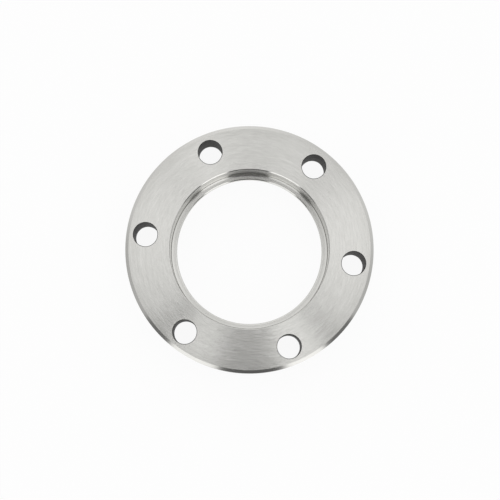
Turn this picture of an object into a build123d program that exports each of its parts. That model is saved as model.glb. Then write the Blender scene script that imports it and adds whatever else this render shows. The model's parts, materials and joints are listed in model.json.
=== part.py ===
from build123d import *
import math
import os

# Knife-edge (CF) vacuum flange, nominal bore 40, turned in one piece and bored on its back for a
# welded tube. Sizes are in millimetres. The origin is the centre of the sealing face, which lies
# on XY; +Z runs up to the tube side, and the first bolt hole is on +X.

# Tube that is welded into the back
tube_diameter = 44.45
tube_wall = 1.65
socket_clearance = 0.05  # on the diameter
tube_stop = 3.2  # thickness of the lip that the tube stands on

# Knife edge and gasket seat, working outwards from the bore
knife_land = 0.375  # bore wall to knife tip
knife_setback = 0.66  # sealing face to knife tip
knife_slope = 20.0  # degrees, on the gasket's side of the tip
knife_height = 1.0  # upright inner flank of the tip
gasket_seat_width = 3.2  # knife tip to recess wall

# Bolting ring
flange_thickness = 12.7
recess_wall = 1.85  # gasket recess to bolt hole
bolt_hole_diameter = 6.7
bolt_count = 6
rim_wall = 2.0  # bolt hole to rim

# Leak-check grooves, cut with a round cutter from the recess out through the rim
leak_groove_width = 3.0
leak_groove_depth = 1.2
leak_groove_count = 2

# Edges
back_rim_chamfer = 0.9  # its width on the face
back_rim_chamfer_angle = 30.0  # degrees down from the face
front_rim_chamfer = 0.4
socket_mouth_chamfer = 0.25
edge_break = 0.15
socket_foot_radius = 0.2

# Radii that follow from the sizes above
socket_radius = (tube_diameter + socket_clearance) / 2
bore_radius = tube_diameter / 2 - tube_wall
knife_radius = bore_radius + knife_land
recess_radius = knife_radius + gasket_seat_width
bolt_hole_radius = bolt_hole_diameter / 2
bolt_circle_radius = recess_radius + recess_wall + bolt_hole_radius
rim_radius = bolt_circle_radius + bolt_hole_radius + rim_wall

# Depths that follow from them
recess_depth = knife_setback + gasket_seat_width * math.tan(math.radians(knife_slope))
back_rim_chamfer_depth = back_rim_chamfer * math.tan(math.radians(back_rim_chamfer_angle))


def turned_ring():
    """The whole turned form, as one section spun about Z."""
    knife_root = knife_setback + knife_height
    gasket_side = [
        (bore_radius, knife_root + knife_land),
        (knife_radius, knife_root),
        (knife_radius, knife_setback),
        (recess_radius, recess_depth),
        (recess_radius, edge_break),
        (recess_radius + edge_break, 0),
    ]
    rim = [
        (rim_radius - front_rim_chamfer, 0),
        (rim_radius, front_rim_chamfer),
        (rim_radius, flange_thickness - back_rim_chamfer_depth),
        (rim_radius - back_rim_chamfer, flange_thickness),
    ]
    socket_foot = (socket_radius, tube_stop)
    tube_side = [
        (socket_radius + socket_mouth_chamfer, flange_thickness),
        (socket_radius, flange_thickness - socket_mouth_chamfer),
        socket_foot,
        (bore_radius, tube_stop),
    ]
    section = make_face(Polyline(*gasket_side, *rim, *tube_side, close=True))
    foot = section.vertices().sort_by_distance(socket_foot)[0]
    section = fillet(foot, socket_foot_radius)
    return revolve(Plane.XZ * section, Axis.Z)


def bolt_hole_drills():
    """One through drill for each bolt, with a countersink at each face to break its edges."""
    mouth_radius = bolt_hole_radius + edge_break
    outline = Polyline(
        (0, 0),
        (mouth_radius, 0),
        (bolt_hole_radius, edge_break),
        (bolt_hole_radius, flange_thickness - edge_break),
        (mouth_radius, flange_thickness),
        (0, flange_thickness),
        close=True,
    )
    drill = revolve(Plane.XZ * make_face(outline), Axis.Z)
    return PolarLocations(bolt_circle_radius, bolt_count) * drill


def leak_groove_cutters():
    """Round bars laid in the sealing face, halfway between bolt holes and opposite each other."""
    half_width = leak_groove_width / 2
    cutter_radius = (half_width**2 + leak_groove_depth**2) / (2 * leak_groove_depth)
    start = recess_radius - half_width
    length = rim_radius + half_width - start
    bar = Cylinder(cutter_radius, length, align=(Align.CENTER, Align.CENTER, Align.MIN))
    lay_radially = Pos(start, 0, leak_groove_depth - cutter_radius) * Rot(0, 90, 0)
    first_angle = 180 / bolt_count
    step = 360 / leak_groove_count
    return [Rot(0, 0, first_angle + step * k) * lay_radially * bar for k in range(leak_groove_count)]


flange = turned_ring() - bolt_hole_drills() - leak_groove_cutters()
flange.label = "flange"

os.makedirs("parts", exist_ok=True)
export_step(flange, "parts/flange.step")
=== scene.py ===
import json
import math

import bmesh
import bpy
from mathutils import Matrix, Vector


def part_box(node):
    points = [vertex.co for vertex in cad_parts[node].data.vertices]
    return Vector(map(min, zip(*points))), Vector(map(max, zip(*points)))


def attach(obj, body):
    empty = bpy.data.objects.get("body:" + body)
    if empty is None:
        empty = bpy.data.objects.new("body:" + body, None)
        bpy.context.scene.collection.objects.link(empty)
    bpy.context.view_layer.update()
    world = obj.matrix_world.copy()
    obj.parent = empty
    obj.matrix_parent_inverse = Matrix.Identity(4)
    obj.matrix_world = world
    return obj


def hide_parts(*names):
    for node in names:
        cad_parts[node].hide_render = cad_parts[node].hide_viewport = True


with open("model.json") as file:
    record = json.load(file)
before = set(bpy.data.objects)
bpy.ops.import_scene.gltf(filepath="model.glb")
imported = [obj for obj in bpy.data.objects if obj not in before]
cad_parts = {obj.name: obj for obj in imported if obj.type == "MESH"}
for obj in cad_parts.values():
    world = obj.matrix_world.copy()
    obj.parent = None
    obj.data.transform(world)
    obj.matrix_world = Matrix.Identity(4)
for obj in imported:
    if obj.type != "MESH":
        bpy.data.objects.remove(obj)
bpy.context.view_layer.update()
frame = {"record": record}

mm = 0.001                           # the scene is in metres, and the sizes below are in millimetres
flangeLow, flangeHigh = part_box("flange")
rimRadius = flangeHigh.x / mm
faceHeight = (flangeHigh.z - flangeLow.z) / mm
mounts = {mount["name"]: mount["dims"] for mount in frame["record"]["mounts"]}


# A wire is one output of a shader node, and arithmetic on it adds Math nodes
class Wire:
    def __init__(self, graph, node, output):
        self.graph = graph
        self.node = node
        self.output = node.outputs[output] if node.outputs else None

    def also(self, output):
        return Wire(self.graph, self.node, output)

    def math(self, operation, *others):
        return self.graph.add("Math", {"operation": operation}, dict(enumerate([self, *others])))

    # The same with the other value first, for a number that stands before a wire
    def mathAfter(self, operation, other):
        return self.graph.add("Math", {"operation": operation}, {0: other, 1: self})

    def __add__(self, other):
        return self.math("ADD", other)

    def __sub__(self, other):
        return self.math("SUBTRACT", other)

    def __mul__(self, other):
        return self.math("MULTIPLY", other)

    def __truediv__(self, other):
        return self.math("DIVIDE", other)

    def __rsub__(self, other):
        return self.mathAfter("SUBTRACT", other)

    def __rtruediv__(self, other):
        return self.mathAfter("DIVIDE", other)

    __radd__ = __add__
    __rmul__ = __mul__

    def clamp(self):
        return self.math("MAXIMUM", 0.0).math("MINIMUM", 1.0)

    def degrees(self):
        return self * math.degrees(1)


class Graph:
    def __init__(self, owner):
        owner.use_nodes = True
        self.tree = owner.node_tree
        self.tree.nodes.clear()

    # Makes a node from its type, its settings, the values or wires of its sockets, and the output wanted
    def add(self, kind, settings=None, sockets=None, output=0):
        node = self.tree.nodes.new("ShaderNode" + kind)
        for name, value in (settings or {}).items():
            if name == "stops":
                self.setStops(node.color_ramp, value)
            else:
                setattr(node, name, value)
        for name, value in (sockets or {}).items():
            if isinstance(value, Wire):
                self.tree.links.new(value.output, node.inputs[name])
            else:
                node.inputs[name].default_value = value
        return Wire(self, node, output)

    def setStops(self, ramp, stops):
        while len(ramp.elements) > 1:
            ramp.elements.remove(ramp.elements[-1])
        ramp.elements[0].position, ramp.elements[0].color = stops[0]
        for position, colour in stops[1:]:
            ramp.elements.new(position).color = colour

    # Mix of two colours: its colour inputs are sockets 6 and 7, and its colour result is output 2
    def blend(self, factor, first, second):
        return self.add("Mix", {"data_type": "RGBA"}, {0: factor, 6: first, 7: second}, 2)

    def vector(self, x, y, z):
        return self.add("CombineXYZ", None, {0: x, 1: y, 2: z})


def grey(value):
    return (value, value, value, 1.0)


cameraPlan = {
    "azimuth": 4.83,                 # degrees that it stands round to the right from the front
    "elevation": 85.13,              # degrees up from the floor
    "roll": 3.10,                    # degrees
    "distance": 450,                 # to the aim
    "lens": 116.1,                   # focal length
    "nearest": 10,                   # anything closer isn't shown
    "aim": (0.18, -0.30),            # off the axis, on the tube side's face
}


def makeCamera():
    plan = cameraPlan
    azimuth, elevation = math.radians(plan["azimuth"]), math.radians(plan["elevation"])
    away = Vector((
        math.sin(azimuth) * math.cos(elevation),
        -math.cos(azimuth) * math.cos(elevation),
        math.sin(elevation),
    ))
    across, along = plan["aim"]
    aim = Vector((across * mm, along * mm, flangeHigh.z))
    camera = bpy.data.objects.new("camera", bpy.data.cameras.new("camera"))
    camera.data.lens = plan["lens"]
    camera.data.clip_start = plan["nearest"] * mm
    camera.location = aim + away * plan["distance"] * mm
    look = (-away).to_track_quat("-Z", "Y").to_matrix()
    look = look @ Matrix.Rotation(math.radians(plan["roll"]), 3, "Z")
    camera.rotation_euler = look.to_euler()
    bpy.context.scene.collection.objects.link(camera)
    bpy.context.scene.camera = camera


# A tent of soft panels round the object, as the light from each bearing, low down and high up. Bearings
# are degrees round from the gap that is left for the lens. The seams meet a little off the zenith.
studioPlan = {
    "gapBearing": -81.0,             # where the gap points, in the flange's own angles
    "seamsMeet": (-0.011, 0.081),    # over a height of 1
    "lowTop": 35.0,                  # degrees up, where the low light ends
    "highFoot": 65.0,                # and where the high light is reached
    "low": [
        (-180, 1.03), (-155, 0.98), (-147, 0.90), (-131, 0.84), (-111, 0.80),   # tent, far side
        (-99, 0.65), (-91, 0.59), (-61, 0.59),                                  # its left side
        (-58, 0.20), (-44, 0.20),                                               # left opening
        (-41, 1.35), (-18, 1.35),                                               # left softbox
        (-15, 0.135), (15, 0.135),                                              # gap for the lens
        (18, 1.42), (37, 1.42),                                                 # right softbox
        (40, 0.19), (56, 0.19),                                                 # right opening
        (59, 0.61), (80, 0.61), (89, 0.70),                                     # tent, right side
        (105, 0.83), (149, 0.83), (161, 0.92), (180, 1.03),                     # round to the far side
    ],
    "high": [
        (-180, 1.03), (-135, 0.97), (-110, 1.06),                               # tent, far side
        (-85, 0.94), (-60, 0.76), (-55, 0.76),                                  # its left side
        (-52, 0.19), (-43, 0.19),                                               # left opening
        (-40, 1.0), (-17, 1.0),                                                 # left softbox
        (-14, 0.15), (14, 0.15),                                                # gap for the lens
        (17, 1.25), (37, 1.25),                                                 # right softbox
        (40, 0.32), (48, 0.32),                                                 # right opening
        (51, 0.87), (60, 0.87), (85, 1.07),                                     # tent, right side
        (110, 1.16), (135, 0.90), (180, 1.03),                                  # round to the far side
    ],
}


def skyStops(lights):
    return [((bearing + 180) / 360, grey(light)) for bearing, light in lights]


def makeWorld():
    plan = studioPlan
    world = bpy.data.worlds.new("studio")
    graph = Graph(world)
    way = graph.add("TexCoord", output="Generated")
    x = graph.add("SeparateXYZ", None, {0: way}, "X")
    y, z = x.also("Y"), x.also("Z")
    meetX, meetY = plan["seamsMeet"]
    east, north = x - z * meetX, y - z * meetY
    turn = math.radians(plan["gapBearing"])
    along = east * math.cos(turn) + north * math.sin(turn)
    across = north * math.cos(turn) - east * math.sin(turn)
    place = (across.math("ARCTAN2", along).degrees() + 180) / 360
    low = graph.add("ValToRGB", {"stops": skyStops(plan["low"])}, {0: place})
    high = graph.add("ValToRGB", {"stops": skyStops(plan["high"])}, {0: place})
    rise = ((z.math("ARCSINE").degrees() - plan["lowTop"]) / (plan["highFoot"] - plan["lowTop"])).clamp()
    light = graph.blend(rise, low, high)
    shown = graph.blend(graph.add("LightPath", output="Is Camera Ray"), light, grey(1.0))
    background = graph.add("Background", None, {"Color": shown, "Strength": 1.0})
    graph.add("OutputWorld", None, {"Surface": background})
    bpy.context.scene.world = world


floorPlan = {
    "size": 6000,
    "paint": 1.0,                    # how white it is where the light falls on it
    "glow": 0.93,                    # how far it shows as plain white to the lens and in the metal
}


def makeFloor():
    bpy.ops.mesh.primitive_plane_add(size=floorPlan["size"] * mm, location=(0, 0, flangeLow.z))
    floor = bpy.context.object
    floor.name = "floor"
    material = bpy.data.materials.new("floorWhite")
    graph = Graph(material)
    path = graph.add("LightPath", output="Is Camera Ray")
    seen = path.math("MAXIMUM", path.also("Is Glossy Ray")).math("MAXIMUM", path.also("Is Transmission Ray"))
    matt = graph.add("BsdfDiffuse", None, {"Color": grey(floorPlan["paint"])})
    glow = graph.add("Emission", None, {"Color": grey(1.0), "Strength": 1.0})
    mixed = graph.add("MixShader", None, {0: seen * floorPlan["glow"], 1: matt, 2: glow})
    graph.add("OutputMaterial", None, {"Surface": mixed})
    floor.data.materials.append(material)


# How marks are drawn in every finish
marksPlan = {
    "detail": 2.0,                   # levels of finer noise
    "turnedFineness": 0.6,           # how strong those levels are in turned marks
    "turnedContrast": 1.8,
    "wallPitch": 1.3,                # marks up a wall, for each one across a face
    "fineInTone": 0.7,               # share of the fine marks in the tone, where broad ones have the rest
    "fineInHeight": 0.8,             # and in the height of the bumps
}


def axisPlace(graph):
    x = graph.add("SeparateXYZ", None, {0: graph.add("TexCoord", output="Object")}, "X")
    y, z = x.also("Y"), x.also("Z")
    return {"x": x, "y": y, "z": z, "radius": (x * x + y * y).math("SQRT")}


# Where a point lies on the flange: the cosine and sine of its bearing, and a length in millimetres that
# runs across the tool's marks on faces and on walls alike
def turnedPlace(graph):
    place = axisPlace(graph)
    radius = place["radius"]
    across = (radius + place["z"] * marksPlan["wallPitch"]) / mm
    return place["x"] / radius, place["y"] / radius, across


# Marks that a tool leaves going round: long along the turn and narrow across it, from 0 to 1
def turnedMarks(graph, spot, turns, lines):
    cosine, sine, across = spot
    noise = graph.add("TexNoise", None, {
        "Vector": graph.vector(cosine * turns, sine * turns, across * lines),
        "Scale": 1.0,
        "Detail": marksPlan["detail"],
        "Roughness": marksPlan["turnedFineness"],
    })
    return ((noise - 0.5) * marksPlan["turnedContrast"] + 0.5).clamp()


# Marks with their own repeats per millimetre along x, y and z
def stretchedMarks(graph, place, repeats):
    stretch = [repeat / mm for repeat in repeats]
    where = graph.add("VectorMath", {"operation": "MULTIPLY"}, {0: place, 1: stretch})
    return graph.add("TexNoise", None, {"Vector": where, "Scale": 1.0, "Detail": marksPlan["detail"]})


def mixMarks(fine, broad, fineShare):
    return fine * fineShare + broad * (1 - fineShare)


def finishSteel(name, finish, marks):
    material = bpy.data.materials.new(name)
    graph = Graph(material)
    fine, broad = marks(graph)
    shade = mixMarks(fine, broad, marksPlan["fineInTone"])
    rough = finish["roughness"] + (broad - 0.5) * finish["roughnessSwing"]
    # Over a span of radius the tone falls and the roughness rises, as the finish's radius ramp gives them
    if "dulling" in finish:
        dulling = finish["dulling"]
        start, end = dulling["start"], dulling["end"]
        rampShare = ((axisPlace(graph)["radius"] / mm - start) / (end - start)).clamp()
        shade, rough = shade - rampShare * dulling["darker"], rough + rampShare * dulling["rougher"]
    tone = graph.blend(shade, finish["dark"], finish["light"])
    bump = graph.add("Bump", None, {
        "Strength": 1.0,
        "Distance": finish["depth"] * mm,
        "Height": mixMarks(fine, broad, marksPlan["fineInHeight"]),
    })
    surface = graph.add("BsdfPrincipled", None, {
        "Base Color": tone,
        "Metallic": 1.0,
        "Roughness": rough,
        "Anisotropic": finish["grain"],
        "Anisotropic Rotation": 0.25,    # a quarter turn puts the grain round the axis
        "Specular Tint": grey(finish["glance"]),
        "Normal": bump,
    })
    graph.add("OutputMaterial", None, {"Surface": surface})
    return material


# Finishes: tones, roughness and how far it swings, pull of the grain, strength of the reflection at a
# glancing angle, depth of the marks, and for turned surfaces the marks' repeats round the turn and lines
# per mm. The radius ramp goes by radius: where it starts and ends, how far the tone falls and roughness
# rises. It is judged, as are the tones, and stands in for a look whose cause isn't known.
turnedFinish = {
    "dark": (0.61, 0.605, 0.58, 1.0),
    "light": (0.725, 0.72, 0.695, 1.0),
    "roughness": 0.16,
    "roughnessSwing": 0.02,
    "grain": 0.94,
    "glance": 1.0,
    "depth": 0.0075,
    "fine": (9.0, 2.2),
    "broad": (4.0, 0.7),
    # the tone falls towards the rim, so the steel is darker there, from a cause that isn't known
    "dulling": {"start": 30.5, "end": 33.5, "darker": 0.35, "rougher": 0.0},
}

edgeFinish = {
    "dark": (0.62, 0.615, 0.59, 1.0),
    "light": (0.68, 0.675, 0.65, 1.0),
    "roughness": 0.18,
    "roughnessSwing": 0.03,
    "grain": 0.8,
    "glance": 1.0,
    "depth": 0.001,
    "fine": (4.0, 6.0),
    "broad": (2.0, 2.0),
}

boredFinish = {
    "dark": (0.67, 0.665, 0.64, 1.0),
    "light": (0.755, 0.75, 0.725, 1.0),
    "roughness": 0.08,
    "roughnessSwing": 0.02,
    "grain": 0.9,
    "glance": 1.0,
    "depth": 0.0015,
    "fine": (4.0, 5.0),
    "broad": (2.0, 1.2),
}

stopFinish = {
    "dark": (0.59, 0.585, 0.56, 1.0),
    "light": (0.67, 0.665, 0.64, 1.0),
    "roughness": 0.09,
    "roughnessSwing": 0.02,
    "grain": 0.7,
    "glance": 1.0,
    "depth": 0.002,
    "fine": (4.0, 4.0),
    "broad": (2.0, 1.5),
    "dulling": {"start": 21.85, "end": 21.5, "darker": 0.0, "rougher": 0.19},
}

seatFinish = {
    "dark": (0.63, 0.625, 0.60, 1.0),
    "light": (0.70, 0.695, 0.67, 1.0),
    "roughness": 0.19,
    "roughnessSwing": 0.03,
    "grain": 0.87,
    "glance": 1.0,
    "depth": 0.002,
    "fine": (4.0, 5.0),
    "broad": (2.0, 1.5),
}


def turnedSteel(name, finish):
    def marks(graph):
        spot = turnedPlace(graph)
        return turnedMarks(graph, spot, *finish["fine"]), turnedMarks(graph, spot, *finish["broad"])
    return finishSteel(name, finish, marks)


# Much darker than the steel is, because it stands in for the light that is lost down a narrow hole
drilledFinishAndShade = {
    "dark": (0.06, 0.059, 0.056, 1.0),
    "light": (0.12, 0.118, 0.113, 1.0),
    "roughness": 0.42,
    "roughnessSwing": 0.2,
    "grain": 0.0,
    "glance": 0.4,
    "depth": 0.03,
    "fine": (0.5, 6.0),              # repeats per mm round the hole, and lines per mm down it
    "broad": (0.3, 1.2),
}


# Steel for the hole walls, whose dark tones are painted shade
def drilledSteel():
    def marks(graph):
        place = graph.add("TexCoord", output="Object")
        around, down = drilledFinishAndShade["fine"]
        broadAround, broadDown = drilledFinishAndShade["broad"]
        return (
            stretchedMarks(graph, place, (around, around, down)),
            stretchedMarks(graph, place, (broadAround, broadAround, broadDown)),
        )
    return finishSteel("drilledSteel", drilledFinishAndShade, marks)


milledFinish = {
    "dark": (0.55, 0.545, 0.52, 1.0),
    "light": (0.68, 0.675, 0.65, 1.0),
    "roughness": 0.28,
    "roughnessSwing": 0.06,
    "grain": 0.0,
    "glance": 1.0,
    "depth": 0.004,
    "fine": (3.5, 0.4),              # lines per mm along the groove, and across it
    "broad": (1.0, 0.2),
}


def milledSteel(bearing):
    def marks(graph):
        along, across = milledFinish["fine"]
        broadAlong, broadAcross = milledFinish["broad"]
        turned = graph.add("Mapping", {"vector_type": "POINT"}, {
            "Vector": graph.add("TexCoord", output="Object"),
            "Rotation": (0, 0, -bearing),
        })
        return (
            stretchedMarks(graph, turned, (along, across, across)),
            stretchedMarks(graph, turned, (broadAlong, broadAcross, broadAcross)),
        )
    return finishSteel("milledSteel", milledFinish, marks)


ringPlan = {
    "steps": 360,                    # facets round the turn
    "arcSteps": 3,                   # facets of a rounded corner
    "softCorner": 0.05,              # radius left on turned corners that have no other
    "footRadius": 0.2,               # where the socket's wall meets the lip
    "lipRadius": 0.35,               # where the lip turns down into the bore
    "tubeStop": 3.2,                 # height of the lip that the tube stands on
    "knifeLand": 0.375,              # bore wall to knife tip
    "knifeSetback": 0.66,            # sealing face to knife tip
    "knifeHeight": 1.0,              # upright inner flank of the tip
    "knifeSlope": 20.0,              # degrees, on the gasket's side of the tip
    "gasketSeat": 3.2,               # knife tip to recess wall
    "backChamfer": 0.9,              # its width on the tube side's face
    "backChamferAngle": 30.0,        # degrees down from the face
    "frontChamfer": 0.4,             # at the rim of the sealing face
    "mouthChamfer": 0.25,            # at the mouth of the socket
    "edgeBreak": 0.15,               # at the mouth of the gasket recess
    "sharpAbove": 32,                # degrees between two faces that leave the edge sharp
    "sliver": 0.001,                 # shorter edges, left over from the cuts, are dissolved
}


def recessRadius():
    return mounts["vacuum_bore"]["r_mm"] + ringPlan["knifeLand"] + ringPlan["gasketSeat"]


# The corners of the turned section as radius, height, corner radius and the finish of the run that
# starts there, from the bore round by the sealing face, the rim and the tube side
def ringSection():
    plan = ringPlan
    rim, top = rimRadius, faceHeight
    bore, socket = mounts["vacuum_bore"]["r_mm"], mounts["tube_socket"]["r_mm"]
    knife, recess = bore + plan["knifeLand"], recessRadius()
    root = plan["knifeSetback"] + plan["knifeHeight"]
    recessDepth = plan["knifeSetback"] + plan["gasketSeat"] * math.tan(math.radians(plan["knifeSlope"]))
    chamferDepth = plan["backChamfer"] * math.tan(math.radians(plan["backChamferAngle"]))
    edge, soft = plan["edgeBreak"], plan["softCorner"]
    front, mouth = plan["frontChamfer"], plan["mouthChamfer"]
    return [
        (bore, root + plan["knifeLand"], soft, "seat"),
        (knife, root, 0, "seat"),
        (knife, plan["knifeSetback"], 0, "seat"),
        (recess, recessDepth, 0, "seat"),
        (recess, edge, soft, "edge"),
        (recess + edge, 0, soft, "seat"),
        (rim - front, 0, soft, "edge"),
        (rim, front, soft, "rim"),
        (rim, top - chamferDepth, soft, "edge"),
        (rim - plan["backChamfer"], top, soft, "turned"),
        (socket + mouth, top, soft, "bored"),
        (socket, top - mouth, soft, "bored"),
        (socket, plan["tubeStop"], plan["footRadius"], "stop"),
        (bore, plan["tubeStop"], plan["lipRadius"], "bored"),
    ]


# Puts an arc in each corner that has a radius
def roundCorners(section, steps):
    points = []
    for k, (r, z, radius, finish) in enumerate(section):
        corner = Vector((r, z))
        before, after = Vector(section[k - 1][:2]), Vector(section[(k + 1) % len(section)][:2])
        if not radius:
            points.append((corner, finish))
            continue
        back, on = (before - corner).normalized(), (after - corner).normalized()
        half = back.angle(on) / 2
        centre = corner + (back + on).normalized() * radius / math.sin(half)
        start, end = corner + back * radius / math.tan(half), corner + on * radius / math.tan(half)
        for step in range(steps + 1):
            spoke = (start - centre).slerp(end - centre, step / steps).normalized()
            points.append((centre + spoke * radius, finish))
    return points


def objectFrom(name, form, materials):
    bmesh.ops.recalc_face_normals(form, faces=form.faces)
    mesh = bpy.data.meshes.new(name)
    form.to_mesh(mesh)
    form.free()
    for material in materials:
        mesh.materials.append(material)
    made = bpy.data.objects.new(name, mesh)
    bpy.context.scene.collection.objects.link(made)
    return made


# Corners round a ring, each where place puts it for its turn, in millimetres
def cornersRound(form, steps, place):
    return [form.verts.new(place(2 * math.pi * k / steps) * mm) for k in range(steps)]


def circle(form, middle, radius, z, steps):
    def place(turn):
        return middle + Vector((radius * math.cos(turn), radius * math.sin(turn), z))
    return cornersRound(form, steps, place)


def joinRings(form, low, high, slot=0):
    count = len(low)
    for k in range(count):
        n = (k + 1) % count
        form.faces.new((low[k], low[n], high[n], high[k])).material_index = slot


# Skins a cutter over its rings and closes both ends
def closeCutter(form, rings):
    for below, above in zip(rings, rings[1:]):
        joinRings(form, below, above)
    form.faces.new(list(reversed(rings[0])))
    form.faces.new(rings[-1])


def spinRing(slots, materials):
    form = bmesh.new()
    points = roundCorners(ringSection(), ringPlan["arcSteps"])
    rings = [circle(form, Vector(), point.x, point.y, ringPlan["steps"]) for point, finish in points]
    for k, (point, finish) in enumerate(points):
        joinRings(form, rings[k], rings[(k + 1) % len(rings)], slots[finish])
    return objectFrom("flangeRing", form, materials)


holePlan = {
    "steps": 96,                     # facets round a hole
    "countersink": 0.15,             # edge break at both ends
    "past": 1.0,                     # how far the cutter stands out of each face
}


def makeDrills(drilled):
    plan, pattern = holePlan, mounts["bolt_circle"]
    radius = pattern["hole_r_mm"]
    wide = radius + plan["countersink"] + plan["past"]
    section = [
        (wide, -plan["past"]),
        (radius, plan["countersink"]),
        (radius, faceHeight - plan["countersink"]),
        (wide, faceHeight + plan["past"]),
    ]
    form = bmesh.new()
    for hole in range(pattern["count"]):
        turn = 2 * math.pi * hole / pattern["count"]
        middle = Vector((math.cos(turn), math.sin(turn), 0)) * pattern["pcd_mm"] / 2
        closeCutter(form, [circle(form, middle, r, z, plan["steps"]) for r, z in section])
    return objectFrom("drills", form, [drilled])


groovePlan = {
    "width": 3.0,                    # at the sealing face
    "depth": 1.2,                    # along the middle
    "count": 2,
    "steps": 96,                     # facets round the cutter
}


def grooveBearing():
    return math.pi / mounts["bolt_circle"]["count"]   # halfway between the first two holes


# Round bars that leave a groove of the width and depth, from inside the recess out past the rim
def makeGrooveCutters(milled):
    plan = groovePlan
    half, depth = plan["width"] / 2, plan["depth"]
    radius = (half ** 2 + depth ** 2) / (2 * depth)
    form = bmesh.new()

    def ringAt(along, spin):
        def place(turn):
            return spin @ Vector((along, radius * math.cos(turn), depth - radius + radius * math.sin(turn)))
        return cornersRound(form, plan["steps"], place)

    for groove in range(plan["count"]):
        spin = Matrix.Rotation(grooveBearing() + 2 * math.pi * groove / plan["count"], 3, "Z")
        closeCutter(form, [ringAt(along, spin) for along in (recessRadius() - half, rimRadius + half)])
    return objectFrom("grooveCutters", form, [milled])


def cut(piece, cutters):
    carve = piece.modifiers.new(cutters.name, "BOOLEAN")
    carve.object = cutters
    carve.operation = "DIFFERENCE"
    carve.solver = "EXACT"
    carve.material_mode = "TRANSFER"


# Fixes the modifiers into the mesh and gives flat faces flat shading up to their rounded corners
def settle(piece, plan):
    piece.data = bpy.data.meshes.new_from_object(piece.evaluated_get(bpy.context.evaluated_depsgraph_get()))
    piece.modifiers.clear()
    form = bmesh.new()
    form.from_mesh(piece.data)
    bmesh.ops.dissolve_degenerate(form, dist=plan["sliver"] * mm, edges=form.edges)
    sharp = math.radians(plan["sharpAbove"])
    for face in form.faces:
        face.smooth = True
    for line in form.edges:
        line.smooth = len(line.link_faces) == 2 and line.calc_face_angle(0) < sharp
    form.to_mesh(piece.data)
    form.free()
    even = piece.modifiers.new("evenShading", "WEIGHTED_NORMAL")
    even.keep_sharp = True
    even.weight = 100                # the largest face at a corner decides


def makeRing():
    finishes = {
        "turned": turnedFinish,
        "edge": edgeFinish,
        "bored": boredFinish,
        "stop": stopFinish,
        "seat": seatFinish,
        "rim": turnedFinish,
    }
    slots = {name: slot for slot, name in enumerate(finishes)}
    ring = spinRing(slots, [turnedSteel(name + "Steel", finish) for name, finish in finishes.items()])
    drills = makeDrills(drilledSteel())
    grooveCutters = makeGrooveCutters(milledSteel(grooveBearing()))
    print("cutters:", mounts["bolt_circle"]["count"], "drills and", groovePlan["count"], "groove cutters")
    for cutters in (drills, grooveCutters):
        cut(ring, cutters)
    settle(ring, ringPlan)
    for cutters in (drills, grooveCutters):
        bpy.data.objects.remove(cutters)
    return ring


makeCamera()
makeWorld()
makeFloor()
print("studio: camera, panels and floor")

ring = makeRing()
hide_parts("flange")
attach(ring, "root")
print("ring:", len(ring.data.polygons), "faces,", [material.name for material in ring.data.materials])

bpy.context.scene.view_settings.view_transform = "Standard"
